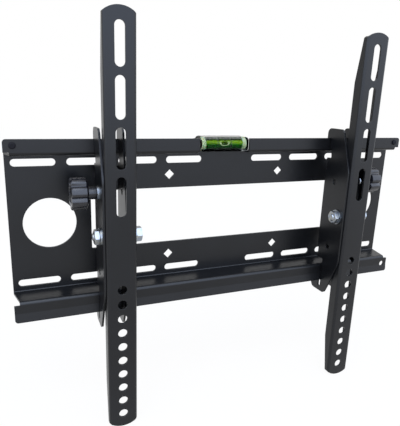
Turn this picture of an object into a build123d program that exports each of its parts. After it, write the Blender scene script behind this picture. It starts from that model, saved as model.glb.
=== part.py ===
from build123d import *
from math import atan2, degrees, hypot, radians, sin
import os

# Tilting wall bracket for a television.
# Millimetres. The wall is the plane y = 0, the front faces -Y, +Z is up, and the
# origin is the middle of the wall slots. A depth is a distance from the wall.

# Wall plate: one sheet, folded into a plate, two shelves and two lips
plate_width = 450.0
plate_height = 140.0
plate_sheet = 2.0
bend_inner_radius = 1.0
top_reach = 21.0
top_lip_rise = 13.0
bottom_reach = 28.0
bottom_lip_drop = 18.3
lip_flat_drop = 9.5
lip_flare = 1.2
lip_corner_radius = 3.0
relief_inset = 5.0
relief_margin = 0.5

# Holes in the wall plate
slot_row_spacing = 119.0
slots_each_side = 4
slot_bridge = 10.0
slot_width = 7.2
window_bridge = 14.5
window_height = 60.0
window_corner_radius = 1.5
cable_hole_diameter = 50.0
cable_hole_inset = 37.5
diamond_side = 7.5
diamond_slot_steps = 1.32
diamond_spacing_z = 88.0
stop_pin_diameter = 4.0
stop_head_diameter = 6.2
stop_head_height = 1.8
stop_inset = 8.0
stop_below_edge = 5.5
padlock_hole_diameter = 6.5
padlock_hole_inset = 7.0
padlock_hole_above_edge = 10.0

# Bubble level, in a notch of the top lip
level_x = -12.0
level_length = 55.0
level_height = 15.0
level_corner_radius = 4.0
level_rise = 1.5
level_side_gap = 1.0
level_edge_radius = 0.8
pad_thickness = 2.0
vial_diameter = 12.0
vial_length = 42.0
plug_length = 4.5
ring_spacing = 15.0
ring_width = 0.9
ring_thickness = 0.4
bubble_length = 11.0
bubble_diameter = 5.5

# Arms: U-channels that carry the screen
left_arm_x = -130.0
right_arm_x = 137.8
arm_reach = 60.0
arm_width = 28.5
arm_sheet = 2.0
arm_top = 193.5
arm_length = 397.0
arm_end_bulge = 5.5
flange_depth = 12.5
flange_end_depth = 6.0
flange_taper_length = 44.0
cheek_edge = 3.6
cheek_ramp = 10.0
cheek_corner_radius = 5.0

# Holes in the arms for the screen's screws
arm_slot_below_top = 29.3
arm_slot_pitch = 43.0
arm_slot_count = 4
arm_slot_length = 36.5
arm_slot_width = 9.0
arm_hole_above_end = 14.5
arm_hole_pitch = 15.0
arm_hole_count = 10
arm_hole_diameter = 9.0

# Hook brackets: two hook plates joined by folds, one plate outside and one inside an arm
hook_sheet = 2.0
hook_gap = 0.25
hook_rear_depth = 18.0
lip_gap = 0.5
hook_ear_rise = 11.2
hook_ear_drop = 13.8
tooth_width = 3.0
tooth_length = 7.0
throat_room = 1.0
throat_lead_in = 5.0
shelf_room = 7.5
finger_width = 13.0
finger_length = 16.0
lift_room = 8.0
hook_front_cover = 11.0
hook_front_straight = 54.0
hook_front_top_back = 3.0
hook_front_bottom_back = 1.4
hook_front_radius = 25.0
far_front_cover = 9.5
far_front_fall = 0.165
ear_front_fall = 3.5
bridge_height = 10.0

# Pivot and tilt lock
pivot_setback = 14.0
pivot_height = -4.0
pivot_bolt_diameter = 8.0
pivot_clearance = 0.08
bolt_head_flats = 13.0
bolt_head_height = 5.3
bolt_tip = 1.2
pivot_nut_height = 5.0
pivot_washer_diameter = 16.5
pivot_washer_thickness = 1.6
hex_chamfer = 0.9
lock_back = 10.0
lock_rise = 39.0
lock_slot_half_angle = 10.5
lock_slot_clearance = 0.4
stud_diameter = 6.0
stud_clearance = 0.08
stud_past_nut = 2.2
lock_nut_flats = 10.0
lock_nut_height = 4.3
lock_washer_diameter = 13.5
lock_washer_thickness = 1.6
knob_diameter = 30.5
knob_length = 15.0
knob_lobes = 7
knob_groove_radius = 4.0
knob_groove_depth = 2.8
knob_lobe_radius = 1.2
knob_edge_radius = 1.6
knob_collar_diameter = 8.4
knob_collar_length = 8.2
stud_in_knob = 10.0

# Worked-out places
slot_pitch = plate_width / (2 * slots_each_side + 1)
slot_length = slot_pitch - slot_bridge
cable_hole_x = plate_width / 2 - cable_hole_inset
window_width = 2 * cable_hole_x - cable_hole_diameter - 2 * window_bridge
diamond_x = slot_pitch * diamond_slot_steps
shelf_outer = plate_height / 2
shelf_inner = shelf_outer - plate_sheet
bend_outer_radius = bend_inner_radius + plate_sheet
lip_top = shelf_outer + top_lip_rise
lip_bottom = -shelf_outer - bottom_lip_drop
arm_bottom = arm_top - arm_length
flange_inside = arm_width / 2 - arm_sheet
hook_inside = arm_width / 2 + hook_gap
hook_outside = hook_inside + hook_sheet
far_outside = flange_inside - hook_gap - lock_nut_height
far_inside = far_outside - hook_sheet
upper_step = shelf_inner - shelf_room
pivot_depth = arm_reach - pivot_setback
pivot_bore_radius = pivot_bolt_diameter / 2 + pivot_clearance
lock_bore_radius = stud_diameter / 2 + stud_clearance
lock_depth = pivot_depth - lock_back
lock_height = pivot_height + lock_rise
lock_radius = hypot(lock_back, lock_rise)
lock_lean = degrees(atan2(lock_back, lock_rise))
lock_slot_width = stud_diameter + 2 * lock_slot_clearance
past = 1.0


def side_slab(outline, x_low, x_high):
    """Solid of a side view, drawn as (y, z), between two x values."""
    return extrude(Plane.YZ.offset(x_low) * outline, x_high - x_low)


def front_slab(outline, near_depth, far_depth):
    """Solid of a front view, drawn as (x, z), between two depths."""
    return extrude(Plane.XZ.offset(near_depth) * outline, far_depth - near_depth)


def top_slab(outline, z_low, z_high):
    """Solid of a plan, drawn as (x, y), between two heights."""
    return extrude(Plane.XY.offset(z_low) * outline, z_high - z_low)


def side_view(points, radii):
    """Path through points given as (depth, z), with a radius at each inner corner."""
    return FilletPolyline(*[(-depth, z) for depth, z in points], radius=radii)


def rod(radius, depth, z, x_low, x_high):
    """Round bar along X."""
    return side_slab(Pos(-depth, z) * Circle(radius), x_low, x_high)


def ring(outer_radius, inner_radius, depth, z, x_low, x_high):
    """Washer-like ring about an axis along X."""
    outline = Pos(-depth, z) * (Circle(outer_radius) - Circle(inner_radius))
    return side_slab(outline, x_low, x_high)


def hex_block(flats, depth, z, x_low, x_high):
    """Hexagonal block along X with the corners of both ends turned off."""
    hexagon = RegularPolygon(flats / 2, 6, major_radius=False)
    prism = side_slab(Pos(-depth, z) * hexagon, x_low, x_high)
    corner_radius = flats / 3 ** 0.5
    barrel = rod(corner_radius, depth, z, x_low, x_high)
    barrel = chamfer(barrel.edges().filter_by(GeomType.CIRCLE), hex_chamfer, angle=60)
    return prism & barrel


def box_between(x_span, depth_span, z_span):
    """Block between two x values, two depths and two heights."""
    size = [high - low for low, high in (x_span, depth_span, z_span)]
    middle = [(low + high) / 2 for low, high in (x_span, depth_span, z_span)]
    return Pos(middle[0], -middle[1], middle[2]) * Box(*size)


def folded_sheet():
    """Plate, shelves and lips as one bent section, before any hole is punched."""
    half = plate_sheet / 2
    shelf = shelf_outer - half
    bottom_lip = bottom_reach - half
    flare_drop = bottom_lip_drop - lip_flat_drop
    bend = bend_inner_radius + half
    points = [
        (top_reach - half, lip_top + past),
        (top_reach - half, shelf),
        (half, shelf),
        (half, -shelf),
        (bottom_lip, -shelf),
        (bottom_lip, lip_bottom + flare_drop),
        (bottom_lip + 2 * lip_flare, lip_bottom - flare_drop),
    ]
    section = trace(side_view(points, bend), plate_sheet)
    sheet = side_slab(section, -plate_width / 2, plate_width / 2)
    middle_z = (lip_top + lip_bottom) / 2
    outline = RectangleRounded(plate_width, lip_top - lip_bottom, lip_corner_radius)
    return sheet & front_slab(Pos(0, middle_z) * outline, -past, bottom_reach + 2 * lip_flare)


def corner_reliefs():
    """Slanted notches that free both lips from the shelves at the plate's ends."""
    notches = Part()
    start = plate_sheet + bend_inner_radius
    bend_height = bend_outer_radius + relief_margin
    top_span = (shelf_inner - past, shelf_inner + bend_height)
    bottom_span = (-shelf_inner - bend_height, -shelf_inner + past)
    for end in (-1, 1):
        edge = end * plate_width / 2
        for reach, (z_low, z_high) in ((top_reach, top_span), (bottom_reach, bottom_span)):
            tip = reach - bend_outer_radius - relief_margin
            plan = Polyline(
                (edge + end * past, -start),
                (edge, -start),
                (edge - end * relief_inset, -tip),
                (edge - end * relief_inset, -reach - past),
                (edge + end * past, -reach - past),
                close=True,
            )
            notches += top_slab(make_face(plan), z_low, z_high)
    return notches


def plate_holes():
    """Everything that is punched through the flat of the plate."""
    openings = RectangleRounded(window_width, window_height, window_corner_radius)
    for end in (-1, 1):
        openings += Pos(end * cable_hole_x, 0) * Circle(cable_hole_diameter / 2)
        for row in (-1, 1):
            for step in range(1, slots_each_side + 1):
                place = Pos(end * step * slot_pitch, row * slot_row_spacing / 2)
                openings += place * SlotOverall(slot_length, slot_width)
            place = Pos(end * diamond_x, row * diamond_spacing_z / 2)
            openings += place * Rectangle(diamond_side, diamond_side, rotation=45)
    return front_slab(openings, -past, plate_sheet + past)


def stop_places():
    """Front-view places of the stops, one at each end of the top lip."""
    x = plate_width / 2 - stop_inset
    return [Pos(end * x, lip_top - stop_below_edge) for end in (-1, 1)]


def lip_holes():
    """Holes for the stops in the top lip and a padlock hole in the bottom lip."""
    holes = Part()
    for place in stop_places():
        outline = place * Circle(stop_pin_diameter / 2)
        holes += front_slab(outline, top_reach - plate_sheet - past, top_reach + past)
    place = Pos(plate_width / 2 - padlock_hole_inset, lip_bottom + padlock_hole_above_edge)
    outline = place * Circle(padlock_hole_diameter / 2)
    far = bottom_reach + lip_flare + past
    return holes + front_slab(outline, bottom_reach - plate_sheet - past, far)


def end_stops():
    """Two rivets with rounded heads that keep the arms from sliding off the lip's ends."""
    rivets = []
    for place in stop_places():
        head = front_slab(place * Circle(stop_head_diameter / 2), top_reach, top_reach + stop_head_height)
        rim = head.edges().filter_by(GeomType.CIRCLE).sort_by(Axis.Y)[0]
        head = fillet(rim, stop_head_height * 0.7)
        pin = place * Circle(stop_pin_diameter / 2)
        rivets.append(head + front_slab(pin, top_reach - plate_sheet, top_reach))
    return Compound(children=rivets)


def wall_plate():
    """The folded sheet with its holes, its notch for the level and the tongue behind it."""
    half_notch = level_length / 2 + level_side_gap
    notch_foot = shelf_outer - bend_outer_radius - relief_margin
    notch_x = (level_x - half_notch, level_x + half_notch)
    notch = box_between(notch_x, (-past, top_reach + past), (notch_foot, lip_top + past))
    tongue_x = (level_x - level_length / 2, level_x + level_length / 2)
    tongue_top = lip_top - level_rise
    tongue = box_between(tongue_x, (0, plate_sheet), (notch_foot - past, tongue_top))
    return folded_sheet() - corner_reliefs() - plate_holes() - lip_holes() - notch + tongue


level_front = top_reach
level_back = plate_sheet + pad_thickness
level_top = lip_top + level_rise
level_axis_z = level_top - level_height / 2
level_axis_depth = level_front - level_height / 2


def level_block():
    """Clear block with rounded ends and a bore for the vial's liquid and plugs."""
    outline = RectangleRounded(level_length, level_height, level_corner_radius)
    block = front_slab(Pos(level_x, level_axis_z) * outline, level_back, level_front)
    front_edges = block.faces().sort_by(Axis.Y)[0].edges()
    block = fillet(front_edges, level_edge_radius)
    half_bore = vial_length / 2 + plug_length
    bore = rod(vial_diameter / 2, level_axis_depth, level_axis_z, level_x - half_bore, level_x + half_bore)
    return block - bore


def level_rings():
    """Two reading rings on the vial's wall, either side of the bubble."""
    rings = []
    for end in (-1, 1):
        middle = level_x + end * ring_spacing / 2
        rings.append(ring(
            vial_diameter / 2, vial_diameter / 2 - ring_thickness, level_axis_depth, level_axis_z,
            middle - ring_width / 2, middle + ring_width / 2,
        ))
    return Compound(children=rings)


def level_liquid():
    """Liquid filling the bore between the plugs, with the bubble left out at the top."""
    half = vial_length / 2
    liquid = rod(vial_diameter / 2, level_axis_depth, level_axis_z, level_x - half, level_x + half)
    liquid -= level_rings().solids()
    bubble_z = level_axis_z + vial_diameter / 2 - ring_thickness - bubble_diameter / 2
    bubble_radius = bubble_diameter / 2
    reach = bubble_length / 2 - bubble_radius
    bubble = rod(bubble_radius, level_axis_depth, bubble_z, level_x - reach, level_x + reach)
    for end in (-1, 1):
        bubble += Pos(level_x + end * reach, -level_axis_depth, bubble_z) * Sphere(bubble_radius)
    return liquid - bubble


def level_plugs():
    """Two end plugs that close the bore."""
    plugs = []
    for end in (-1, 1):
        ends = sorted(level_x + end * (vial_length / 2 + step) for step in (0, plug_length))
        plugs.append(rod(vial_diameter / 2, level_axis_depth, level_axis_z, *ends))
    return Compound(children=plugs)


def level_pad():
    """Adhesive pad that holds the level on the plate's tongue."""
    inset = level_corner_radius
    x_span = (level_x - level_length / 2 + inset, level_x + level_length / 2 - inset)
    z_span = (level_top - level_height, lip_top - level_rise)
    return box_between(x_span, (plate_sheet, level_back), z_span)


def cheek_depth():
    """Depth of the cheeks' rear edge, behind the rear ends of the lock slots."""
    lean = radians(lock_lean + lock_slot_half_angle)
    return pivot_depth - lock_radius * sin(lean) - lock_slot_width / 2 - cheek_edge


def arm_section():
    """U-section of an arm in plan: a web in front and two flanges running back."""
    half_sheet = arm_sheet / 2
    side = arm_width / 2 - half_sheet
    front = arm_reach - half_sheet
    back = cheek_depth() - past
    path = FilletPolyline(
        (-side, -back), (-side, -front), (side, -front), (side, -back),
        radius=bend_inner_radius + half_sheet,
    )
    return trace(path, arm_sheet)


def arm_side():
    """Side view of an arm: tapered flange ends and deeper cheeks round the pivot."""
    flange = arm_reach - flange_depth
    end = arm_reach - flange_end_depth
    cheek = cheek_depth()
    cheek_reach = lock_radius + lock_slot_width / 2 + cheek_edge
    cheek_top = pivot_height + cheek_reach
    cheek_bottom = pivot_height - cheek_reach
    points = [
        (arm_reach + past, arm_top + past),
        (end, arm_top + past),
        (end, arm_top - arm_end_bulge),
        (flange, arm_top - arm_end_bulge - flange_taper_length),
        (flange, cheek_top + cheek_ramp),
        (cheek + cheek_ramp, cheek_top),
        (cheek, cheek_top - cheek_edge),
        (cheek, cheek_bottom + cheek_edge),
        (cheek + cheek_ramp, cheek_bottom),
        (flange, cheek_bottom - cheek_ramp),
        (flange, arm_bottom + arm_end_bulge + flange_taper_length),
        (end, arm_bottom + arm_end_bulge),
        (end, arm_bottom - past),
        (arm_reach + past, arm_bottom - past),
    ]
    outline = make_face(Polyline(*[(-depth, z) for depth, z in points], close=True))
    cheek_corners = outline.vertices().filter_by(lambda v: v.X > -cheek - 2 * cheek_ramp)
    return fillet(cheek_corners, cheek_corner_radius)


def arm_front():
    """Front view of an arm: straight sides with bulging ends."""
    half = arm_width / 2
    top = arm_top - arm_end_bulge
    bottom = arm_bottom + arm_end_bulge
    outline = Curve() + [
        ThreePointArc((-half, top), (0, arm_top), (half, top)),
        Line((half, top), (half, bottom)),
        ThreePointArc((half, bottom), (0, arm_bottom), (-half, bottom)),
        Line((-half, bottom), (-half, top)),
    ]
    return make_face(outline)


def arm_screw_holes():
    """Long slots in the upper half and round holes in the lower half of the web."""
    holes = Sketch()
    for index in range(arm_slot_count):
        place = Pos(0, arm_top - arm_slot_below_top - index * arm_slot_pitch)
        holes += place * SlotOverall(arm_slot_length, arm_slot_width, rotation=90)
    for index in range(arm_hole_count):
        place = Pos(0, arm_bottom + arm_hole_above_end + index * arm_hole_pitch)
        holes += place * Circle(arm_hole_diameter / 2)
    return front_slab(holes, arm_reach - arm_sheet - past, arm_reach + past)


def lock_slots():
    """Arc slots about the pivot in side view, one above it for the lock stud and one below."""
    slots = Sketch()
    for middle_angle in (90 - lock_lean, lock_lean - 90):
        arc = CenterArc(
            (-pivot_depth, pivot_height), lock_radius,
            middle_angle - lock_slot_half_angle, 2 * lock_slot_half_angle,
        )
        slots += SlotArc(arc, lock_slot_width)
    return slots


def arm():
    """One arm about x = 0."""
    half = arm_width / 2
    channel = top_slab(arm_section(), arm_bottom - past, arm_top + past)
    channel &= side_slab(arm_side(), -half - past, half + past)
    channel &= front_slab(arm_front(), 0, arm_reach + past)
    pivot_bore = rod(pivot_bore_radius, pivot_depth, pivot_height, -half - past, half + past)
    slots = side_slab(lock_slots(), -half - past, half + past)
    return channel - arm_screw_holes() - pivot_bore - slots


ear_front_z = lip_top + hook_ear_rise - ear_front_fall
ear_foot_z = lip_bottom + past


def near_front():
    """Front edge of the hook plate outside an arm, upwards, with a straight middle."""
    face = pivot_depth + hook_front_cover
    return FilletPolyline(
        (-pivot_depth + hook_front_bottom_back, ear_foot_z),
        (-face, pivot_height - hook_front_straight),
        (-face, pivot_height + hook_front_straight),
        (-pivot_depth + hook_front_top_back, ear_front_z),
        radius=hook_front_radius,
    )


def far_front():
    """Front edge of the hook plate inside an arm, sloped to clear the tilted web."""
    peak = min(pivot_depth + far_front_cover, arm_reach - arm_sheet - past)
    foot = peak - far_front_fall * (pivot_height - ear_foot_z)
    head = peak - far_front_fall * (ear_front_z - pivot_height)
    return FilletPolyline(
        (-foot, ear_foot_z), (-peak, pivot_height), (-head, ear_front_z),
        radius=hook_front_radius,
    )


def hook_outline(front):
    """Side view of a hook plate, from the top ear down the rear edge to the lower ear."""
    ear_top = lip_top + hook_ear_rise
    ear_bottom = lip_bottom - hook_ear_drop
    foot = front @ 0
    head = front @ 1
    tooth_front = top_reach - plate_sheet - lip_gap
    tooth_rear = tooth_front - tooth_width
    tooth_end = lip_top - tooth_length
    lip_front = bottom_reach + lip_flare + lip_gap
    finger_front = bottom_reach - plate_sheet - lip_gap
    finger_rear = finger_front - finger_width
    finger_top = lip_bottom - lift_room + finger_length
    throat_end = lip_bottom - lift_room
    corners = [
        ((-head.X - ear_front_fall, ear_top), 3),
        ((tooth_rear, ear_top), 6),
        ((tooth_rear, tooth_end), 1.2),
        ((tooth_front, tooth_end), 1.2),
        ((tooth_front, lip_top), lip_gap / 2),
        ((top_reach + throat_room, lip_top), throat_room / 2),
        ((top_reach + throat_lead_in, upper_step), 2),
        ((hook_rear_depth, upper_step), 1.5),
        ((hook_rear_depth, -upper_step), 1.5),
        ((lip_front, -upper_step), 2),
        ((lip_front, throat_end), 1),
        ((finger_front, throat_end), 1),
        ((finger_front, finger_top), 2),
        ((finger_rear, finger_top), 3),
        ((finger_rear, ear_bottom), 6),
        ((-foot.X - hook_ear_drop / 2, ear_bottom), 6),
    ]
    inner = [place for place, radius in corners]
    points = [(-head.X, head.Y)] + inner + [(-foot.X, foot.Y)]
    rear = side_view(points, [radius for place, radius in corners])
    return make_face(rear.edges() + front.edges())


def hook_holes():
    """Pivot hole and the two lock holes of a hook plate, in side view."""
    holes = Pos(-pivot_depth, pivot_height) * Circle(pivot_bore_radius)
    for side in (-1, 1):
        holes += Pos(-lock_depth, pivot_height + side * lock_rise) * Circle(lock_bore_radius)
    return holes


def bridge():
    """Plan of a fold that joins the two hook plates at their rear edges."""
    half_sheet = hook_sheet / 2
    near_x = -hook_outside + half_sheet
    far_x = far_outside - half_sheet
    path = FilletPolyline(
        (near_x, -hook_rear_depth - bend_outer_radius - past),
        (near_x, -hook_rear_depth - half_sheet),
        (far_x, -hook_rear_depth - half_sheet),
        (far_x, -hook_rear_depth - bend_outer_radius - past),
        radius=bend_inner_radius + half_sheet,
    )
    return trace(path, hook_sheet)


def hook_bracket():
    """Hook bracket of an arm at x = 0: one sheet with a plate at each end of its folds."""
    bracket = side_slab(hook_outline(near_front()) - hook_holes(), -hook_outside, -hook_inside)
    bracket += side_slab(hook_outline(far_front()) - hook_holes(), far_inside, far_outside)
    bridge_top = upper_step - bend_outer_radius
    bend_span = (hook_rear_depth - past, hook_rear_depth + bend_outer_radius)
    for z_span in ((bridge_top - bridge_height, bridge_top), (-bridge_top, bridge_height - bridge_top)):
        bracket -= box_between((-hook_outside - past, far_outside + past), bend_span, z_span)
        bracket += top_slab(bridge(), *z_span)
    return bracket


washer_reach = {1: hook_inside, -1: hook_outside}
head_washer_end = hook_inside + pivot_washer_thickness
nut_washer_end = -hook_outside - pivot_washer_thickness
nut_end = nut_washer_end - pivot_nut_height


def pivot_bolt():
    """Hex bolt through both hook plates and both flanges, with its head towards +X."""
    head_end = head_washer_end + bolt_head_height
    head = hex_block(bolt_head_flats, pivot_depth, pivot_height, head_washer_end, head_end)
    tip = nut_end - bolt_tip
    shank = rod(pivot_bolt_diameter / 2, pivot_depth, pivot_height, tip, head_washer_end)
    tip_edge = shank.edges().filter_by(GeomType.CIRCLE).sort_by(Axis.X)[0]
    return head + chamfer(tip_edge, hex_chamfer)


def pivot_washer(side):
    """Flat washer under the bolt's head (side 1) or under its nut (side -1)."""
    seat = washer_reach[side]
    x_span = sorted((side * seat, side * (seat + pivot_washer_thickness)))
    return ring(pivot_washer_diameter / 2, pivot_bore_radius, pivot_depth, pivot_height, *x_span)


def pivot_nut():
    """Hex nut on the bolt's -X end."""
    block = hex_block(bolt_head_flats, pivot_depth, pivot_height, nut_end, nut_washer_end)
    return block - rod(pivot_bore_radius, pivot_depth, pivot_height, nut_end - past, nut_washer_end + past)


def lock_nut(outward):
    """Nut on the knob's stud, inside the arm next to the outward flange."""
    seat = flange_inside - hook_gap
    x_span = sorted((outward * seat, outward * (seat - lock_nut_height)))
    block = hex_block(lock_nut_flats, lock_depth, lock_height, *x_span)
    return block - rod(lock_bore_radius, lock_depth, lock_height, x_span[0] - past, x_span[1] + past)


def lock_washer(outward):
    """Flat washer under the knob, on the hook plate (-X) or on the arm's flange (+X)."""
    seat = washer_reach[outward]
    x_span = sorted((outward * seat, outward * (seat + lock_washer_thickness)))
    return ring(lock_washer_diameter / 2, lock_bore_radius, lock_depth, lock_height, *x_span)


def knob_star():
    """Lobed outline of the knob in side view."""
    radius = knob_diameter / 2
    groove_middle = radius - knob_groove_depth + knob_groove_radius
    star = Circle(radius)
    for place in PolarLocations(groove_middle, knob_lobes, start_angle=90 - 180 / knob_lobes):
        star -= place * Circle(knob_groove_radius)
    star = fillet(star.vertices(), knob_lobe_radius)
    return Pos(-lock_depth, lock_height) * star


def tilt_knob(outward):
    """Lobed knob with a collar, moulded round the head of its stud."""
    collar_start = washer_reach[outward] + lock_washer_thickness
    grip_start = collar_start + knob_collar_length
    x_span = sorted((outward * grip_start, outward * (grip_start + knob_length)))
    grip = side_slab(knob_star(), *x_span)
    end_faces = grip.faces().filter_by(Axis.X)
    grip = fillet(end_faces.edges(), knob_edge_radius)
    collar_x = sorted((outward * collar_start, outward * grip_start))
    collar = rod(knob_collar_diameter / 2, lock_depth, lock_height, *collar_x)
    stud_x = sorted((outward * (collar_start - past), outward * (grip_start + stud_in_knob)))
    return grip + collar - rod(stud_diameter / 2, lock_depth, lock_height, *stud_x)


def knob_stud(outward):
    """Stud that runs from the knob through the flange's arc slot into the nut."""
    nut_inner_end = flange_inside - hook_gap - lock_nut_height
    grip_start = washer_reach[outward] + lock_washer_thickness + knob_collar_length
    x_span = sorted((outward * (nut_inner_end - stud_past_nut), outward * (grip_start + stud_in_knob)))
    stud = rod(stud_diameter / 2, lock_depth, lock_height, *x_span)
    free_edge = stud.edges().filter_by(GeomType.CIRCLE).sort_by(Axis.X)[0 if outward > 0 else -1]
    return chamfer(free_edge, hex_chamfer)


nodes = {
    "wall_plate": wall_plate(),
    "end_stops": end_stops(),
    "level_block": level_block(),
    "level_liquid": level_liquid(),
    "level_plugs": level_plugs(),
    "level_rings": level_rings(),
    "level_pad": level_pad(),
}
for side, outward, arm_x in (("left", -1, left_arm_x), ("right", 1, right_arm_x)):
    pieces = {
        "arm": arm(),
        "hook_bracket": hook_bracket(),
        "pivot_bolt": pivot_bolt(),
        "pivot_head_washer": pivot_washer(1),
        "pivot_nut_washer": pivot_washer(-1),
        "pivot_nut": pivot_nut(),
        "lock_nut": lock_nut(outward),
        "lock_washer": lock_washer(outward),
        "tilt_knob": tilt_knob(outward),
        "knob_stud": knob_stud(outward),
    }
    for name, piece in pieces.items():
        nodes[side + "_" + name] = Pos(arm_x, 0, 0) * piece

os.makedirs("parts", exist_ok=True)
for name, piece in nodes.items():
    export_step(piece, "parts/" + name + ".step")
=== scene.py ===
# %% [markdown]
# # A tilting wall bracket for a screen
# The bracket is a folded steel plate with two lips, and two upright arms that hang on the
# lips by pairs of hook plates. Most shapes come from the imported CAD frame, and its bends
# already shade smoothly. This lesson gives each piece its finish, models the threaded bolts
# and studs, the lobed knobs and the level's dark backing by hand, and sets the light and camera.
# Blender counts in metres, so sizes that are written in millimetres are multiplied by `MM`.

# %% Load the frame
import math

import bpy
from mathutils import Matrix, Vector


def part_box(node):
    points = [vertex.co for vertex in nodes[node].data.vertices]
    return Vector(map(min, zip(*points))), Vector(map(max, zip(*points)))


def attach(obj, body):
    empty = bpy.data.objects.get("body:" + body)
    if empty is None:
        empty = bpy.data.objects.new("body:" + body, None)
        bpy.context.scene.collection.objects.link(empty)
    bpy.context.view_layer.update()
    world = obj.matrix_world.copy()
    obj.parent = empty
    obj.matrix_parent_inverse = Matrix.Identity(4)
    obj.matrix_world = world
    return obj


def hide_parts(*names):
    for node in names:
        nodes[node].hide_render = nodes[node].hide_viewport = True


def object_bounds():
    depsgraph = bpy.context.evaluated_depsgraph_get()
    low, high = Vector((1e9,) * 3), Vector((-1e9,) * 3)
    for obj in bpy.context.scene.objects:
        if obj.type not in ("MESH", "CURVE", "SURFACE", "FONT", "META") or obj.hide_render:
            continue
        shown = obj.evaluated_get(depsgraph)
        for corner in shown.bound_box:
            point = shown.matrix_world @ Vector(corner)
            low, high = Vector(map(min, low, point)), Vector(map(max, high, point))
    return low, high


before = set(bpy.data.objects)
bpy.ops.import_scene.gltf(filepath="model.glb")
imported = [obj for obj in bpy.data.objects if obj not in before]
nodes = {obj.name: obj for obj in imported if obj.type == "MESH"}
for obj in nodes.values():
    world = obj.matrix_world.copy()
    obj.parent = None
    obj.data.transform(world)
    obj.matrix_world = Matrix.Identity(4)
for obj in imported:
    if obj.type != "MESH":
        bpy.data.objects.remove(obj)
cad_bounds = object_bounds()
MM = 0.001

# %% [markdown]
# ## Camera
# The photograph was taken from the left of the bracket and a little above it. A camera can be
# placed by eye, but here the wall slots and the arm holes are at known places, so their
# positions in the picture settle where the lens was. The turn, tilt and roll below are that
# result, as three plain rotations.

# %% Place the camera
PICTURE_WIDTH = 400
FOCAL_PIXELS = 448.98
SENSOR_MM = 36.0
NEAREST_SEEN = 10.0 * MM
lens_place = Vector((-215.2, -445.0, 125.8)) * MM
lens_turn = math.radians(22.708)
lens_tilt_down = math.radians(14.740)
lens_roll = math.radians(2.050)

camera_data = bpy.data.cameras.new("camera")
camera_data.sensor_fit = "HORIZONTAL"
camera_data.sensor_width = SENSOR_MM
camera_data.lens = FOCAL_PIXELS * SENSOR_MM / PICTURE_WIDTH
camera_data.clip_start = NEAREST_SEEN
camera = bpy.data.objects.new("camera", camera_data)
bpy.context.scene.collection.objects.link(camera)
camera.matrix_world = (
    Matrix.Translation(lens_place)
    @ Matrix.Rotation(-lens_turn, 4, "Z")
    @ Matrix.Rotation(math.pi / 2 - lens_tilt_down, 4, "X")
    @ Matrix.Rotation(lens_roll, 4, "Z")
)
bpy.context.scene.camera = camera
print("lens:", round(camera_data.lens, 2), "mm")

# %% [markdown]
# ## Wires
# A material is a graph of nodes, and sums of their outputs are easier to read as arithmetic.
# A wire wraps one output socket. Adding or multiplying wires adds a Math node, and `node`
# adds any other node with its inputs fed from numbers or wires.


# %% Wires between shader nodes
class Wire:
    """One output in a material's node tree."""

    def __init__(self, tree, socket=None):
        self.tree = tree
        self.socket = socket

    def node(self, kind, inputs, output=0, **settings):
        """Adds a node, feeds its inputs and returns one of its outputs."""
        made = self.tree.nodes.new("ShaderNode" + kind)
        for name, value in settings.items():
            setattr(made, name, value)
        for name, value in inputs.items():
            if isinstance(value, Wire):
                self.tree.links.new(value.socket, made.inputs[name])
            else:
                made.inputs[name].default_value = value
        return Wire(self.tree, made.outputs[output])

    def math(self, operation, first, second):
        return self.node("Math", {0: first, 1: second}, operation=operation)

    def __add__(self, other):
        return self.math("ADD", self, other)

    def __radd__(self, other):
        return self.math("ADD", other, self)

    def __sub__(self, other):
        return self.math("SUBTRACT", self, other)

    def __rsub__(self, other):
        return self.math("SUBTRACT", other, self)

    def __mul__(self, other):
        return self.math("MULTIPLY", self, other)

    def __rmul__(self, other):
        return self.math("MULTIPLY", other, self)

    def __pow__(self, other):
        return self.math("POWER", self, other)

    def __rpow__(self, other):
        return self.math("POWER", other, self)

    def axis(self, name):
        """X, Y or Z of a vector."""
        return self.node("SeparateXYZ", {"Vector": self}, output=name)

    def noise(self, scale, detail=2.0):
        """Smooth noise from 0 to 1 on this vector, with scale features per metre."""
        return self.node("TexNoise", {"Vector": self, "Scale": scale, "Detail": detail})

    def between(self, low, high):
        """0 below low, 1 above high, and a straight ramp from one to the other."""
        values = {"Value": self, "From Min": low, "From Max": high, "To Min": 0.0, "To Max": 1.0}
        return self.node("MapRange", values, clamp=True)

    def blend(self, colour_at_0, colour_at_1):
        """Colour that goes from the first to the second as this wire goes from 0 to 1."""
        colours = {0: self, 6: colour_at_0, 7: colour_at_1}
        return self.node("Mix", colours, output=2, data_type="RGBA")

    def bump(self, depth, base=None):
        """Normal of a surface, or of a base normal, that this wire raises by up to depth."""
        inputs = {"Height": self, "Distance": depth, "Strength": 1.0}
        if base is not None:
            inputs["Normal"] = base
        return self.node("Bump", inputs, output="Normal")


print("wire class ready")

# %% [markdown]
# ## Dress the CAD nodes
# Each CAD node keeps its mesh, and only its material changes. A finish is one Principled
# shader. What is the same all over is set on its sockets, and what changes over the surface
# is wired in. Patterns could follow a UV map, but the CAD meshes have none, so every pattern
# reads the place on the object in metres.


# %% Start a finish and give it to nodes
def rgb(red, green, blue):
    return (red, green, blue, 1.0)


def new_finish(name, **constants):
    """A material with one Principled shader. Returns it, its shader and the place on the object."""
    material = bpy.data.materials.new(name)
    material.use_nodes = True
    tree = material.node_tree
    shader = tree.nodes["Principled BSDF"]
    for socket, value in constants.items():
        shader.inputs[socket.replace("_", " ")].default_value = value
    place = Wire(tree).node("TexCoord", {}, output="Object")
    return material, shader, place


def feed(shader, **wires):
    """Links wires to the shader's sockets."""
    for socket, wire in wires.items():
        wire.tree.links.new(wire.socket, shader.inputs[socket.replace("_", " ")])


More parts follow.
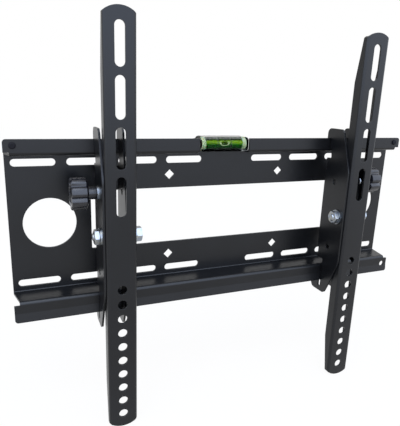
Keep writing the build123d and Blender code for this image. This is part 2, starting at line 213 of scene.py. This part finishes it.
def both(*pieces):
    """The names of these nodes on the left arm and on the right one."""
    return [side + "_" + piece for side in ("left", "right") for piece in pieces]


def assign(names, material):
    """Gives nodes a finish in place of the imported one."""
    for name in names:
        slots = nodes[name].data.materials
        slots.clear()
        slots.append(material)
    print(material.name, "on", len(names))


print("nodes to dress:", len(nodes))

# %% [markdown]
# ## Powder coat
# The sheet steel carries a black powder coat. The powder melts and flows, so it is satin with
# a fine orange peel, and it never lies quite evenly. It could be a flat dark grey, but then
# wide faces look like card. Here a fine noise gives the peel, a broad one changes the gloss
# a little from place to place, and a trace of pale dust settles on faces that look up. A
# Bevel node rounds the punched edges for the light, and where it turns the normal most the
# coat is thin, so worn patches show there.

# %% Powder coat
COAT_CLEAN = rgb(0.0036, 0.0038, 0.0046)
COAT_DUSTY = rgb(0.010, 0.0105, 0.012)
COAT_WORN = rgb(0.045, 0.047, 0.050)
COAT_EDGE = 0.6 * MM
PEEL_DEPTH = 0.04 * MM


def powder_coat():
    material, shader, place = new_finish("powder_coat", IOR=1.38)
    peel = place.noise(900.0)
    grain = place.noise(4200.0)
    cloud = place.noise(26.0, 3.0)
    facing = place.node("NewGeometry", {}, output="Normal")
    rounded = place.node("Bevel", {"Radius": COAT_EDGE}, samples=4)
    normals = {0: facing, 1: rounded}
    turn = place.node("VectorMath", normals, output="Value", operation="DOT_PRODUCT")
    worn = (1 - turn).between(0.03, 0.25) * place.noise(240.0, 4.0).between(0.42, 0.68)
    dust = facing.axis("Z").between(0.5, 1.0) * place.noise(160.0, 4.0).between(0.45, 0.75)
    coat = (cloud * 0.6 + dust * 0.25).blend(COAT_CLEAN, COAT_DUSTY)
    feed(
        shader,
        Base_Color=(worn * 0.7).blend(coat, COAT_WORN),
        Roughness=0.26 + cloud * 0.08 + grain * 0.05 + dust * 0.08 + worn * 0.12,
        Normal=(peel * 0.75 + grain * 0.25).bump(PEEL_DEPTH, rounded),
    )
    return material


assign(["wall_plate"] + both("arm", "hook_bracket"), powder_coat())

# %% [markdown]
# ## Zinc, and studs darkened as painted shade
# Bolts, nuts and washers are zinc plated: bright, a little blue, with a faint yellow cast
# where the passivation is thicker, and with rings left by turning. The studs and their nuts
# are turned the same way, but their skin is painted much darker, as painted shade for the
# shadowed channel they sit in. The rings follow the
# distance from the fastener's own axis. One material for all would put them off centre, so
# the pivot and the lock have their own, and a Mapping node moves the pattern to the axis.

# %% Zinc plating, and metal darkened as painted shade
ZINC_SKIN = (rgb(0.27, 0.305, 0.36), rgb(0.36, 0.36, 0.33))
# The studs' dark skin is painted shade.
SHADED_STUD_SKIN = (rgb(0.030, 0.031, 0.034), rgb(0.060, 0.058, 0.054))
RING_DEPTH = 0.03 * MM


def turned_metal(name, skin, axis):
    """Metal with rings about an axis along X, and a skin between two colours."""
    material, shader, place = new_finish(name, Metallic=1.0)
    centred = place.node("Mapping", {"Vector": place, "Location": (0.0, -axis.y, -axis.z)})
    radius = (centred.axis("Y") ** 2.0 + centred.axis("Z") ** 2.0) ** 0.5
    spacing = {"W": radius, "Scale": 3800.0, "Detail": 1.0}
    rings = radius.node("TexNoise", spacing, noise_dimensions="1D")
    cloud = place.noise(320.0, 3.0)
    handled = place.noise(1100.0, 4.0).between(0.35, 0.8)
    feed(
        shader,
        Base_Color=cloud.between(0.35, 0.7).blend(*skin),
        Roughness=0.25 + rings * 0.10 + handled * 0.10,
        Normal=(rings * 0.7 + cloud * 0.3).bump(RING_DEPTH),
    )
    return material


def corners(name):
    """The lowest and the highest corner of a CAD node."""
    low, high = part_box(name)
    return Vector(low), Vector(high)


def middle(name):
    low, high = corners(name)
    return (low + high) / 2


pivot = middle("left_pivot_nut")
lock = middle("left_lock_washer")
pivot_zinc = turned_metal("pivot_zinc", ZINC_SKIN, pivot)
lock_zinc = turned_metal("lock_zinc", ZINC_SKIN, lock)
# The studs and the lock nuts get the metal darkened by painted shade.
shaded_stud_metal = turned_metal("shaded_stud_metal", SHADED_STUD_SKIN, lock)
assign(both("pivot_bolt", "pivot_head_washer", "pivot_nut_washer", "pivot_nut"), pivot_zinc)
assign(both("lock_washer"), lock_zinc)
assign(both("lock_nut", "knob_stud"), shaded_stud_metal)

# %% [markdown]
# ## Knob and stop plastic
# The knobs are moulded in black plastic, glossier than the coat, with the slight waviness of
# a thick moulding that shrank as it cooled. An even black would do, but its highlights would
# be too straight. Broad noise bends them, and a fine one dulls the places where fingers rub.
# The two stops on the top lip are matt and darker.

# %% Knob and stop plastic
KNOB_BLACK = rgb(0.007, 0.007, 0.010)
KNOB_RUBBED = rgb(0.014, 0.014, 0.019)
STOP_BLACK = rgb(0.004, 0.004, 0.006)
STOP_PALE = rgb(0.010, 0.009, 0.012)
WAVE_DEPTH = 0.07 * MM
STOP_GRAIN_DEPTH = 0.03 * MM


def knob_plastic():
    material, shader, place = new_finish("black_plastic", IOR=1.5)
    waves = place.noise(120.0, 1.0)
    rubbed = place.noise(420.0, 4.0).between(0.4, 0.7)
    feed(
        shader,
        Base_Color=rubbed.blend(KNOB_BLACK, KNOB_RUBBED),
        Roughness=0.24 + rubbed * 0.12,
        Normal=(waves * 0.9 + rubbed * 0.1).bump(WAVE_DEPTH),
    )
    return material


def stop_plastic():
    material, shader, place = new_finish("stop_plastic", IOR=1.25)
    grain = place.noise(2600.0, 3.0)
    feed(
        shader,
        Base_Color=grain.blend(STOP_BLACK, STOP_PALE),
        Roughness=0.55 + grain * 0.2,
        Normal=grain.bump(STOP_GRAIN_DEPTH),
    )
    return material


moulded = knob_plastic()
assign(both("tilt_knob"), moulded)
assign(["end_stops"], stop_plastic())

# %% [markdown]
# ## Level block and liquid
# The level is a clear block with a bore full of green liquid, and both pass light. Real
# acrylic bends light more than is set here, but in a piece this small that only veils the
# green with reflections. Light and shade are painted into the liquid's colour: painted shade
# goes to almost black at its foot, a painted highlight makes it yellow green high in the bore,
# and a line of painted shade darkens its very top. The bubble is painted as well: painted
# shade in its hollow over a painted highlight on the meniscus. Refraction alone could draw
# the bubble, but at this size it is lost, so its outline is an ellipse in the colour.

# %% Clear block
ACRYLIC = rgb(0.62, 0.66, 0.64)


def clear_acrylic():
    material, shader, place = new_finish(
        "clear_acrylic", Transmission_Weight=1.0, IOR=1.13, Base_Color=ACRYLIC
    )
    scuffs = place.noise(900.0, 5.0).between(0.55, 0.75)
    feed(shader, Roughness=0.02 + scuffs * 0.06)
    return material


assign(["level_block"], clear_acrylic())

# %% Green liquid and its bubble
# The foot, top and bubble colours are painted shade, and the lit and rim colours are painted
# highlights.
LIQUID_FOOT_SHADE = rgb(0.001, 0.012, 0.001)
LIQUID_DEEP = rgb(0.004, 0.170, 0.004)
LIQUID_LIT = rgb(0.28, 0.50, 0.012)
LIQUID_TOP_SHADE = rgb(0.010, 0.030, 0.004)
BUBBLE_SHADE = rgb(0.020, 0.045, 0.004)
MENISCUS_HIGHLIGHT = rgb(0.86, 0.90, 0.52)
BUBBLE_REACH = 5.6 * MM
BUBBLE_HEIGHT = 0.60
BUBBLE_HALF_HEIGHT = 0.25


def green_liquid(low, high):
    """Liquid in a bore between two corners. Heights are shares of the bore, from 0 to 1."""
    material, shader, place = new_finish("green_liquid", Transmission_Weight=0.5, IOR=1.12)
    height = place.axis("Z").between(low[2], high[2])
    swirl = place.noise(90.0, 2.0)
    # Painted shade at the foot, a painted highlight high in the bore, and painted shade at the very
    # top.
    foot_shaded = (height + swirl * 0.2).between(0.15, 0.65).blend(LIQUID_FOOT_SHADE, LIQUID_DEEP)
    lit = (height + swirl * 0.1).between(0.52, 0.68).blend(foot_shaded, LIQUID_LIT)
    shaded = height.between(0.76, 0.86).blend(lit, LIQUID_TOP_SHADE)
    along = (place.axis("X") - (low[0] + high[0]) / 2) * (1 / BUBBLE_REACH)
    across = (height - BUBBLE_HEIGHT) * (1 / BUBBLE_HALF_HEIGHT)
    from_middle = (along**2.0 + across**2.0) ** 0.5
    # The bubble's hollow is painted shade, and its meniscus is a painted highlight.
    bubble_shade_mask = 1 - from_middle.between(0.62, 0.78)
    highlight_ring = from_middle.between(0.66, 0.84) * (1 - from_middle.between(0.88, 1.06))
    meniscus_highlight = highlight_ring * (1 - across.between(0.1, 0.6))
    with_bubble_shade = (bubble_shade_mask * 0.75).blend(shaded, BUBBLE_SHADE)
    feed(
        shader,
        Base_Color=meniscus_highlight.blend(with_bubble_shade, MENISCUS_HIGHLIGHT),
        Roughness=0.03 + swirl * 0.03,
    )
    return material


assign(["level_liquid"], green_liquid(*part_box("level_liquid")))

# %% [markdown]
# ## Level plugs, rings and pad
# Two milky plugs close the bore, two printed rings mark the middle, and a foam pad holds the
# level on the plate's tongue. One dark material could serve them all at this size, but up
# close each has its own grain: cloudy plastic, patchy ink and the cells of the foam.

# %% Plugs, rings and pad
PLUG_SHADED = rgb(0.30, 0.36, 0.17)
PLUG_MILKY = rgb(0.46, 0.50, 0.30)
PLUG_LIGHT_DEPTH = 2.0 * MM
INK_DENSE = rgb(0.004, 0.006, 0.004)
INK_THIN = rgb(0.02, 0.025, 0.02)
FOAM_HOLLOW = rgb(0.008, 0.008, 0.008)
FOAM_WALL = rgb(0.035, 0.035, 0.035)
CELL_DEPTH = 0.3 * MM


def plug_plastic():
    material, shader, place = new_finish(
        "plug_plastic", IOR=1.47, Subsurface_Weight=0.3, Subsurface_Scale=PLUG_LIGHT_DEPTH
    )
    cloud = place.noise(700.0, 3.0)
    feed(
        shader,
        Base_Color=cloud.blend(PLUG_SHADED, PLUG_MILKY),
        Roughness=0.35 + cloud * 0.15,
    )
    return material


def ring_ink():
    material, shader, place = new_finish("ring_ink")
    grain = place.noise(3000.0)
    feed(shader, Base_Color=grain.blend(INK_DENSE, INK_THIN), Roughness=0.5 + grain * 0.2)
    return material


def foam():
    material, shader, place = new_finish("foam")
    cells = place.node("TexVoronoi", {"Vector": place, "Scale": 1600.0}, output="Distance")
    feed(
        shader,
        Base_Color=cells.blend(FOAM_HOLLOW, FOAM_WALL),
        Roughness=0.8 + cells * 0.2,
        Normal=cells.bump(CELL_DEPTH),
    )
    return material


assign(["level_plugs"], plug_plastic())
assign(["level_rings"], ring_ink())
pad_foam = foam()
assign(["level_pad"], pad_foam)

# %% [markdown]
# ## Threads
# The pivot bolts and the knobs' studs are threaded. A smooth rod would do from far away, but
# the thread shows where a tip stands out of its nut and inside the channels. A thread is one
# small tooth swept along a helix, so a single vertex is extruded into the tooth's outline and
# a Screw modifier repeats it. The tooth's height is a share of the pitch, and its outline is
# given in steps, in pitches along the rod and in tooth heights outwards. Cutting both ends
# flat and closing them makes the rod solid.

# %% Sweep one tooth into a thread
THREAD_STEPS = 24
SPARE_TURNS = 3
TOOTH_HEIGHT = 0.6
TOOTH_OUTLINE = ((0.13, 0), (0.31, 1), (0.12, 0), (0.31, -1), (0.13, 0))
WELD_DISTANCE = 0.02 * MM
CUT_PRECISION = 1e-7


def apply_modifier(piece, kind, **settings):
    """Adds a modifier to the piece and applies it."""
    modifier = piece.modifiers.new(kind.lower(), kind)
    for setting, value in settings.items():
        setattr(modifier, setting, value)
    bpy.context.view_layer.objects.active = piece
    bpy.ops.object.modifier_apply(modifier=modifier.name)


def thread(name, axis, x_low, x_high, radius, pitch):
    """A threaded rod along X between two x values, with flat closed ends."""
    root = radius - TOOTH_HEIGHT * pitch
    tooth = radius - root
    sweep_start = (x_low - SPARE_TURNS / 2 * pitch, axis.y, axis.z)
    bpy.ops.object.select_all(action="DESELECT")
    bpy.ops.mesh.primitive_plane_add(size=pitch, location=sweep_start)
    piece = bpy.context.object
    piece.name = name
    bpy.ops.object.mode_set(mode="EDIT")
    bpy.ops.mesh.select_mode(type="VERT")
    bpy.ops.mesh.select_all(action="SELECT")
    bpy.ops.mesh.merge(type="CENTER")
    bpy.ops.transform.translate(value=(0, 0, root))
    for along, out in TOOTH_OUTLINE:
        step = (along * pitch, 0, out * tooth)
        bpy.ops.mesh.extrude_vertices_move(TRANSFORM_OT_translate={"value": step})
    bpy.ops.object.mode_set(mode="OBJECT")
    turns = math.ceil((x_high - x_low) / pitch) + SPARE_TURNS
    steps = {"steps": THREAD_STEPS, "render_steps": THREAD_STEPS, "iterations": turns}
    apply_modifier(piece, "SCREW", axis="X", screw_offset=pitch, **steps)
    bpy.ops.object.transform_apply(location=True, rotation=True, scale=True)
    bpy.ops.object.mode_set(mode="EDIT")
    bpy.ops.mesh.select_all(action="SELECT")
    bpy.ops.mesh.remove_doubles(threshold=WELD_DISTANCE)
    for x, below in ((x_low, True), (x_high, False)):
        bpy.ops.mesh.select_all(action="SELECT")
        bpy.ops.mesh.bisect(
            plane_co=(x, 0, 0),
            plane_no=(1, 0, 0),
            use_fill=True,
            clear_inner=below,
            clear_outer=not below,
            threshold=CUT_PRECISION,
        )
    bpy.ops.object.mode_set(mode="OBJECT")
    return piece


print("thread steps in a turn:", THREAD_STEPS)

# %% [markdown]
# ## Bars with tapered ends
# Bolt heads, shanks, grips and collars all start as a bar along X, and many have an end that
# narrows. The end could be a cone primitive of its own, but then it would need to be joined,
# so its flat face is selected by its place, drawn out and shrunk instead.

# %% Add a bar and taper its ends
ON_PLANE = 0.01 * MM
FACING_ALONG = 0.99


def bar(name, axis, x_low, x_high, radius, vertices):
    """A plain bar along X, as the start of a piece."""
    bpy.ops.object.select_all(action="DESELECT")
    bpy.ops.mesh.primitive_cylinder_add(
        vertices=vertices,
        radius=radius,
        depth=x_high - x_low,
        location=((x_low + x_high) / 2, axis.y, axis.z),
        rotation=(0, math.pi / 2, 0),
    )
    piece = bpy.context.object
    piece.name = name
    bpy.ops.object.transform_apply(location=True, rotation=True, scale=True)
    return piece


def select_where(piece, kind, wanted):
    """Goes into edit mode with only the wanted vertices, edges or faces selected."""
    bpy.context.view_layer.objects.active = piece
    bpy.ops.object.mode_set(mode="EDIT")
    bpy.ops.mesh.select_mode(type=kind)
    bpy.ops.mesh.select_all(action="DESELECT")
    bpy.ops.object.mode_set(mode="OBJECT")
    mesh = piece.data
    for part in {"VERT": mesh.vertices, "EDGE": mesh.edges, "FACE": mesh.polygons}[kind]:
        part.select = wanted(part)
    bpy.ops.object.mode_set(mode="EDIT")


def select_end(piece, x):
    """Selects the flat faces of the piece that lie at x, and leaves it in edit mode."""

    def on_end(face):
        return abs(face.center.x - x) < ON_PLANE and abs(face.normal.x) > FACING_ALONG

    select_where(piece, "FACE", on_end)


def taper_end(piece, axis, x, length, share):
    """Draws the flat end at x out by length and shrinks it to a share of its width."""
    select_end(piece, x)
    bpy.ops.mesh.extrude_region_move(TRANSFORM_OT_translate={"value": (length, 0, 0)})
    bpy.ops.transform.resize(value=(1, share, share), center_override=(x, axis.y, axis.z))
    bpy.ops.object.mode_set(mode="OBJECT")


print("an end's faces lie within", ON_PLANE / MM, "mm")

# %% [markdown]
# ## Pivot bolts
# Each arm tilts on a hex bolt through both hook plates. The head is forged as a hexagon, and
# turning takes its corners off in six arcs. A bevel would cut straight facets there, so the
# hexagon is intersected with a cone-ended round bar, which leaves true arcs. A plain shank
# joins the head to the thread. The right bolt is a copy of the left one.

# %% Thread and shank of the left bolt
BOLT_RADIUS = 4.0 * MM
BOLT_PITCH = 1.25 * MM
TIP_LENGTH = 0.8 * MM
BOLT_TIP_SHARE = 0.84
SHANK_LENGTH = 16.0 * MM
SHANK_VERTICES = 40
RUNOUT_LENGTH = 0.5 * MM
RUNOUT_SHARE = 0.88
THREAD_IN_SHANK = 1.0 * MM
bolt_low, bolt_high = corners("left_pivot_bolt")
bolt_axis = (bolt_low + bolt_high) / 2
head_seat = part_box("left_pivot_head_washer")[1][0]
shank_start = head_seat - SHANK_LENGTH
thread_low, thread_high = bolt_low.x + TIP_LENGTH, shank_start + THREAD_IN_SHANK
round_low = shank_start + RUNOUT_LENGTH

left_bolt = thread("left_bolt", bolt_axis, thread_low, thread_high, BOLT_RADIUS, BOLT_PITCH)
taper_end(left_bolt, bolt_axis, thread_low, -TIP_LENGTH, BOLT_TIP_SHARE)
shank = bar("shank", bolt_axis, round_low, head_seat, BOLT_RADIUS, SHANK_VERTICES)
taper_end(shank, bolt_axis, round_low, -RUNOUT_LENGTH, RUNOUT_SHARE)
print("left bolt from", round(bolt_low.x / MM, 1), "to", round(bolt_high.x / MM, 1), "mm")

# %% Head of the left bolt
HEAD_CORNERS = 6
HEAD_FLATS = 13.0 * MM
HEAD_TURNED_OFF = 0.55 * MM
TURNED_SHARE = 0.87
TURNED_VERTICES = 72
corner_radius = HEAD_FLATS / 3**0.5
turned_low, turned_high = head_seat + HEAD_TURNED_OFF, bolt_high.x - HEAD_TURNED_OFF

head = bar("head", bolt_axis, head_seat, bolt_high.x, corner_radius, HEAD_CORNERS)
turned = bar("turned", bolt_axis, turned_low, turned_high, corner_radius, TURNED_VERTICES)
taper_end(turned, bolt_axis, turned_low, -HEAD_TURNED_OFF, TURNED_SHARE)
taper_end(turned, bolt_axis, turned_high, HEAD_TURNED_OFF, TURNED_SHARE)
apply_modifier(head, "BOOLEAN", operation="INTERSECT", object=turned, solver="EXACT")
bpy.data.objects.remove(turned)
print("head faces:", len(head.data.polygons))

# %% Join the bolt and copy it to the right
SMOOTH_ANGLE = math.radians(35)


def pick(*pieces):
    """Selects these pieces alone, and makes the last one active."""
    bpy.ops.object.select_all(action="DESELECT")
    for piece in pieces:
        piece.select_set(True)
    bpy.context.view_layer.objects.active = pieces[-1]


def settle(piece, material, body, node):
    """Points the faces outwards, gives the piece its finish and its body, and hides the CAD node it
    replaces.
    """
    pick(piece)
    bpy.ops.object.mode_set(mode="EDIT")
    bpy.ops.mesh.select_all(action="SELECT")
    bpy.ops.mesh.normals_make_consistent(inside=False)
    bpy.ops.object.mode_set(mode="OBJECT")
    bpy.ops.object.shade_smooth_by_angle(angle=SMOOTH_ANGLE)
    piece.data.materials.clear()
    piece.data.materials.append(material)
    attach(piece, body)
    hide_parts(node)
    print(piece.name, "faces:", len(piece.data.polygons))


pick(shank, head, left_bolt)
bpy.ops.object.join()
bpy.ops.object.duplicate(linked=False)
right_bolt = bpy.context.object
right_bolt.name = "right_bolt"
bolt_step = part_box("right_pivot_bolt")[0][0] - bolt_low.x
bpy.ops.transform.translate(value=(bolt_step, 0, 0))
bpy.ops.object.transform_apply(location=True, rotation=True, scale=True)
settle(left_bolt, pivot_zinc, "left_hook", "left_pivot_bolt")
settle(right_bolt, pivot_zinc, "right_hook", "right_pivot_bolt")

# %% [markdown]
# ## Knob studs
# A stud is moulded into each knob and screws into a nut inside the channel. One could be a
# copy of the other, but they point opposite ways and differ in length, because the left one
# also passes a hook plate. So each is swept at its own length from the same tooth, with a
# coned free end.

# %% Model the studs
STUD_RADIUS = 3.0 * MM
STUD_PITCH = 1.0 * MM
STUD_TIP_SHARE = 0.80
for side in ("left", "right"):
    stud_low, stud_high = corners(side + "_knob_stud")
    stud_axis = (stud_low + stud_high) / 2
    if side == "left":
        thread_low, thread_high = stud_low.x, stud_high.x - TIP_LENGTH
        free_end, tip = thread_high, TIP_LENGTH
    else:
        thread_low, thread_high = stud_low.x + TIP_LENGTH, stud_high.x
        free_end, tip = thread_low, -TIP_LENGTH
    stud = thread(side + "_stud", stud_axis, thread_low, thread_high, STUD_RADIUS, STUD_PITCH)
    taper_end(stud, stud_axis, free_end, tip, STUD_TIP_SHARE)
    settle(stud, shaded_stud_metal, side + "_knob", side + "_knob_stud")

# %% [markdown]
# ## Tilt knobs
# A knob is one moulding: a grip with seven rounded lobes, a dished cap and a collar towards
# the washer. Grooves could be cut with seven round bars, but that leaves sharp ridges. Here
# the grip starts as a round bar, and its vertices are drawn in towards the axis, the more the
# nearer they are to a groove, so that each lobe swells smoothly.

# %% Draw in the grooves
LOBES = 7
STEPS_PER_LOBE = 12
CREST_STEP = 4
GRIP_LENGTH = 15.0 * MM
CAP_DRAFT = 1.0 * MM
SHOULDER = 1.8 * MM
GROOVE_SHARES = (0.82, 0.865, 0.950, 0.992)
knob_low, knob_high = corners("left_tilt_knob")
knob_axis = (knob_low + knob_high) / 2
grip_radius = (knob_high.z - knob_low.z) / 2
grip_end = knob_low.x + GRIP_LENGTH
cap_start, shoulder_start = knob_low.x + CAP_DRAFT, grip_end - SHOULDER


def steps_from_groove(vertex):
    """How many vertex steps a vertex of the grip lies from the middle of the nearest groove."""
    angle = math.atan2(vertex.co.z - knob_axis.z, knob_axis.y - vertex.co.y)
    step = round(angle / math.tau * LOBES * STEPS_PER_LOBE) - CREST_STEP
    return abs(step % STEPS_PER_LOBE - STEPS_PER_LOBE // 2)


grip_vertices = LOBES * STEPS_PER_LOBE
left_knob = bar("left_knob", knob_axis, cap_start, shoulder_start, grip_radius, grip_vertices)
for steps, share in enumerate(GROOVE_SHARES):
    select_where(left_knob, "VERT", lambda vertex: steps_from_groove(vertex) == steps)
    bpy.ops.transform.resize(value=(1, share, share), center_override=knob_axis)
    bpy.ops.object.mode_set(mode="OBJECT")
groove_radius = grip_radius * GROOVE_SHARES[0]
print("grip radius", round(grip_radius / MM, 2), "mm, groove", round(groove_radius / MM, 2))

# %% Shape the shoulder and the dished cap
SHOULDER_SHARE = 0.80
CAP_SHARE = 0.94
RIM_WIDTH = 2.6 * MM
DISH_DEPTH = 0.9 * MM
DISH_SHARE = 0.9
GRIP_ROUNDING = {"width": 0.7 * MM, "segments": 3, "angle_limit": math.radians(32)}

taper_end(left_knob, knob_axis, shoulder_start, SHOULDER, SHOULDER_SHARE)
taper_end(left_knob, knob_axis, cap_start, -CAP_DRAFT, CAP_SHARE)
select_end(left_knob, knob_low.x)
bpy.ops.mesh.inset(thickness=RIM_WIDTH)
bpy.ops.mesh.extrude_region_move(TRANSFORM_OT_translate={"value": (DISH_DEPTH, 0, 0)})
bpy.ops.transform.resize(value=(1, DISH_SHARE, DISH_SHARE), center_override=knob_axis)
bpy.ops.object.mode_set(mode="OBJECT")
apply_modifier(left_knob, "BEVEL", limit_method="ANGLE", **GRIP_ROUNDING)
print("grip faces:", len(left_knob.data.polygons))

# %% Add the collar
COLLAR_RADIUS = 5.8 * MM
COLLAR_VERTICES = 48
COLLAR_IN_GRIP = 0.5 * MM
COLLAR_TAPER = 0.6 * MM
COLLAR_SHARE = 0.9
collar_low, collar_high = grip_end - COLLAR_IN_GRIP, knob_high.x - COLLAR_TAPER

collar = bar("collar", knob_axis, collar_low, collar_high, COLLAR_RADIUS, COLLAR_VERTICES)
taper_end(collar, knob_axis, collar_high, COLLAR_TAPER, COLLAR_SHARE)
pick(collar, left_knob)
bpy.ops.object.join()
print("knob from", round(knob_low.x / MM, 1), "to", round(knob_high.x / MM, 1), "mm")

# %% Mirror the knob to the right
bpy.ops.object.duplicate(linked=False)
right_knob = bpy.context.object
right_knob.name = "right_knob"
mirror_x = (knob_low.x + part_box("right_tilt_knob")[1][0]) / 2
bpy.ops.transform.resize(value=(-1, 1, 1), center_override=(mirror_x, 0, 0))
bpy.ops.object.transform_apply(location=True, rotation=True, scale=True)
settle(left_knob, moulded, "left_knob", "left_tilt_knob")
settle(right_knob, moulded, "right_knob", "right_tilt_knob")

# %% [markdown]
# ## A dark backing behind the level
# A black strip covers the level's back above the steel tongue. It is painted shade, which
# makes the clear block look dark from the front. It is one thin strip with rounded corners. It
# could be a flat plane, but from behind its edge shows, so a thin block is bevelled instead.

# %% Model the dark backing
BACKING_THICKNESS = 0.4 * MM
BACKING_INSET = 1.0 * MM
BACKING_TOP_INSET = 0.6 * MM
BACKING_CORNER = 1.2 * MM
BACKING_CORNER_STEPS = 4
BACKING_SOFT_EDGE = 0.08 * MM
SAME_PLACE = 1e-7
block_low, block_high = corners("level_block")
backing_low = Vector((block_low.x + BACKING_INSET, block_high.y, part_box("level_pad")[1][2]))
backing_high = block_high + Vector((-BACKING_INSET, BACKING_THICKNESS, -BACKING_TOP_INSET))
backing_size = backing_high - backing_low


def through_backing(edge):
    """True for the four short edges from the front of the backing to its back."""
    start, end = (shade_backing.data.vertices[index].co for index in edge.vertices)
    return abs(start.x - end.x) < SAME_PLACE and abs(start.z - end.z) < SAME_PLACE


# This black strip behind the clear block is painted shade.
bpy.ops.object.select_all(action="DESELECT")
bpy.ops.mesh.primitive_cube_add(size=1, location=(backing_low + backing_high) / 2, scale=backing_size)
shade_backing = bpy.context.object
shade_backing.name = "level_shade_backing"
bpy.ops.object.transform_apply(location=True, rotation=True, scale=True)
select_where(shade_backing, "EDGE", through_backing)
bpy.ops.mesh.bevel(offset=BACKING_CORNER, segments=BACKING_CORNER_STEPS)
bpy.ops.object.mode_set(mode="OBJECT")
apply_modifier(shade_backing, "BEVEL", width=BACKING_SOFT_EDGE, segments=1, limit_method="ANGLE")
shade_backing.data.materials.append(pad_foam)
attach(shade_backing, "wall")
print("shade_backing", [round(length / MM, 1) for length in backing_size], "mm")

# %% [markdown]
# ## Floor
# The photograph has a plain white ground. A bright lamp could bleach a floor, but it would
# also wash out the bracket. Instead the floor is pale paper, over which rays from the camera,
# from reflections and through the clear block see mostly white. The share of paper that is
# left keeps a faint shadow, and the white is a little over 1 to make up for that share.

# %% Floor
FLOOR_LENGTH = 4.0
FLOOR_FRONT = -0.5
PAPER = rgb(0.82, 0.82, 0.82)
WHITE = rgb(1, 1, 1)
WHITE_STRENGTH = 1.04
WHITE_SHARE = 0.9
BACKGROUND_RAYS = ("Is Camera Ray", "Is Glossy Ray", "Is Transmission Ray")


def background_seen(wire):
    """1 for the rays that see a white background and 0 for others."""
    seen = wire.node("LightPath", {}, output=BACKGROUND_RAYS[0])
    for ray in BACKGROUND_RAYS[1:]:
        seen = wire.math("MAXIMUM", seen, wire.node("LightPath", {}, output=ray))
    return seen


bpy.ops.object.select_all(action="DESELECT")
floor_middle = (0.0, FLOOR_FRONT + FLOOR_LENGTH / 2, cad_bounds[0][2])
bpy.ops.mesh.primitive_plane_add(size=FLOOR_LENGTH, location=floor_middle)
floor = bpy.context.object
floor.name = "floor"

ground, ground_shader, ground_place = new_finish("ground", Roughness=0.9, Base_Color=PAPER)
ground_tree = ground.node_tree
paper = Wire(ground_tree, ground_shader.outputs["BSDF"])
glow = {"Color": WHITE, "Strength": WHITE_STRENGTH}
white = ground_place.node("Emission", glow, output="Emission")
white_share = background_seen(ground_place) * WHITE_SHARE
mixed = ground_place.node("MixShader", {0: white_share, 1: paper, 2: white}, output="Shader")
ground_tree.links.new(mixed.socket, ground_tree.nodes["Material Output"].inputs["Surface"])
floor.data.materials.append(ground)
print("floor front edge at", FLOOR_FRONT)

# %% [markdown]
# ## World
# The world is the studio. Behind the bracket it is white to the same rays as the floor. On
# the camera's side a soft wall grows brighter upwards and a little cooler, like a large
# window, which is what makes the upper halves of the arms paler than the lower ones. A lamp
# could do that too, but its edges would show in the satin coat. Diffuse rays see a dimmer
# room, so that the black stays black.

# %% World
WALL_STRENGTH = 2.2
WALL_DIFFUSE = 0.8
ROOM_DIFFUSE = 0.25
WALL_TINT = rgb(0.87, 1.0, 1.26)
BACK_RAMP = (-0.1, 0.3)
HEIGHT_RAMP = (-0.19, 0.10)
RIGHT_RAMP = (0.4, 0.62)
RIGHT_LOSS = 0.3
world = bpy.data.worlds.new("studio")
bpy.context.scene.world = world
world.use_nodes = True
sky = Wire(world.node_tree)
toward = sky.node("TexCoord", {}, output="Generated")
front = 1 - toward.axis("Y").between(*BACK_RAMP)
above = toward.axis("Z").between(*HEIGHT_RAMP)
leftward = 1 - toward.axis("X").between(*RIGHT_RAMP) * RIGHT_LOSS
soft_wall = front * above * leftward
seen = background_seen(sky)
seen_light = 1 + soft_wall * WALL_STRENGTH
diffuse_light = ROOM_DIFFUSE + soft_wall * WALL_DIFFUSE
strength = seen * seen_light + (1 - seen) * diffuse_light
tint = soft_wall.blend(WHITE, WALL_TINT)
background = world.node_tree.nodes["Background"]
feed(background, Strength=strength, Color=tint)
print("soft wall strength:", WALL_STRENGTH)

# %% [markdown]
# ## Lamp
# One large weak lamp stands above and to the left of the bracket, behind the camera. It gives
# the floor its faint shadow and the zinc a highlight. A strong small lamp would cast hard
# shadows that the photograph doesn't have, so the world does the rest.

# %% Lamp
LAMP_SIZE = (1.4, 0.9)
LAMP_WATTS = 9.0
LAMP_COLOUR = (0.94, 0.97, 1.0)
lamp_place = Vector((-0.5, -0.9, 1.5))
lamp_data = bpy.data.lights.new("overhead", "AREA")
lamp_data.shape = "RECTANGLE"
lamp_data.size, lamp_data.size_y = LAMP_SIZE
lamp_data.energy = LAMP_WATTS
lamp_data.color = LAMP_COLOUR
lamp = bpy.data.objects.new("overhead", lamp_data)
bpy.context.scene.collection.objects.link(lamp)
lamp.location = lamp_place
lamp.rotation_euler = (-lamp_place).to_track_quat("-Z", "Y").to_euler()
print("lamp:", LAMP_WATTS, "W")

# %% [markdown]
# ## Finish
# The dressed bracket must stay inside the CAD box. The Standard view transform shows colours as
# they are written.

# %% Finish
bpy.context.scene.view_settings.view_transform = "Standard"
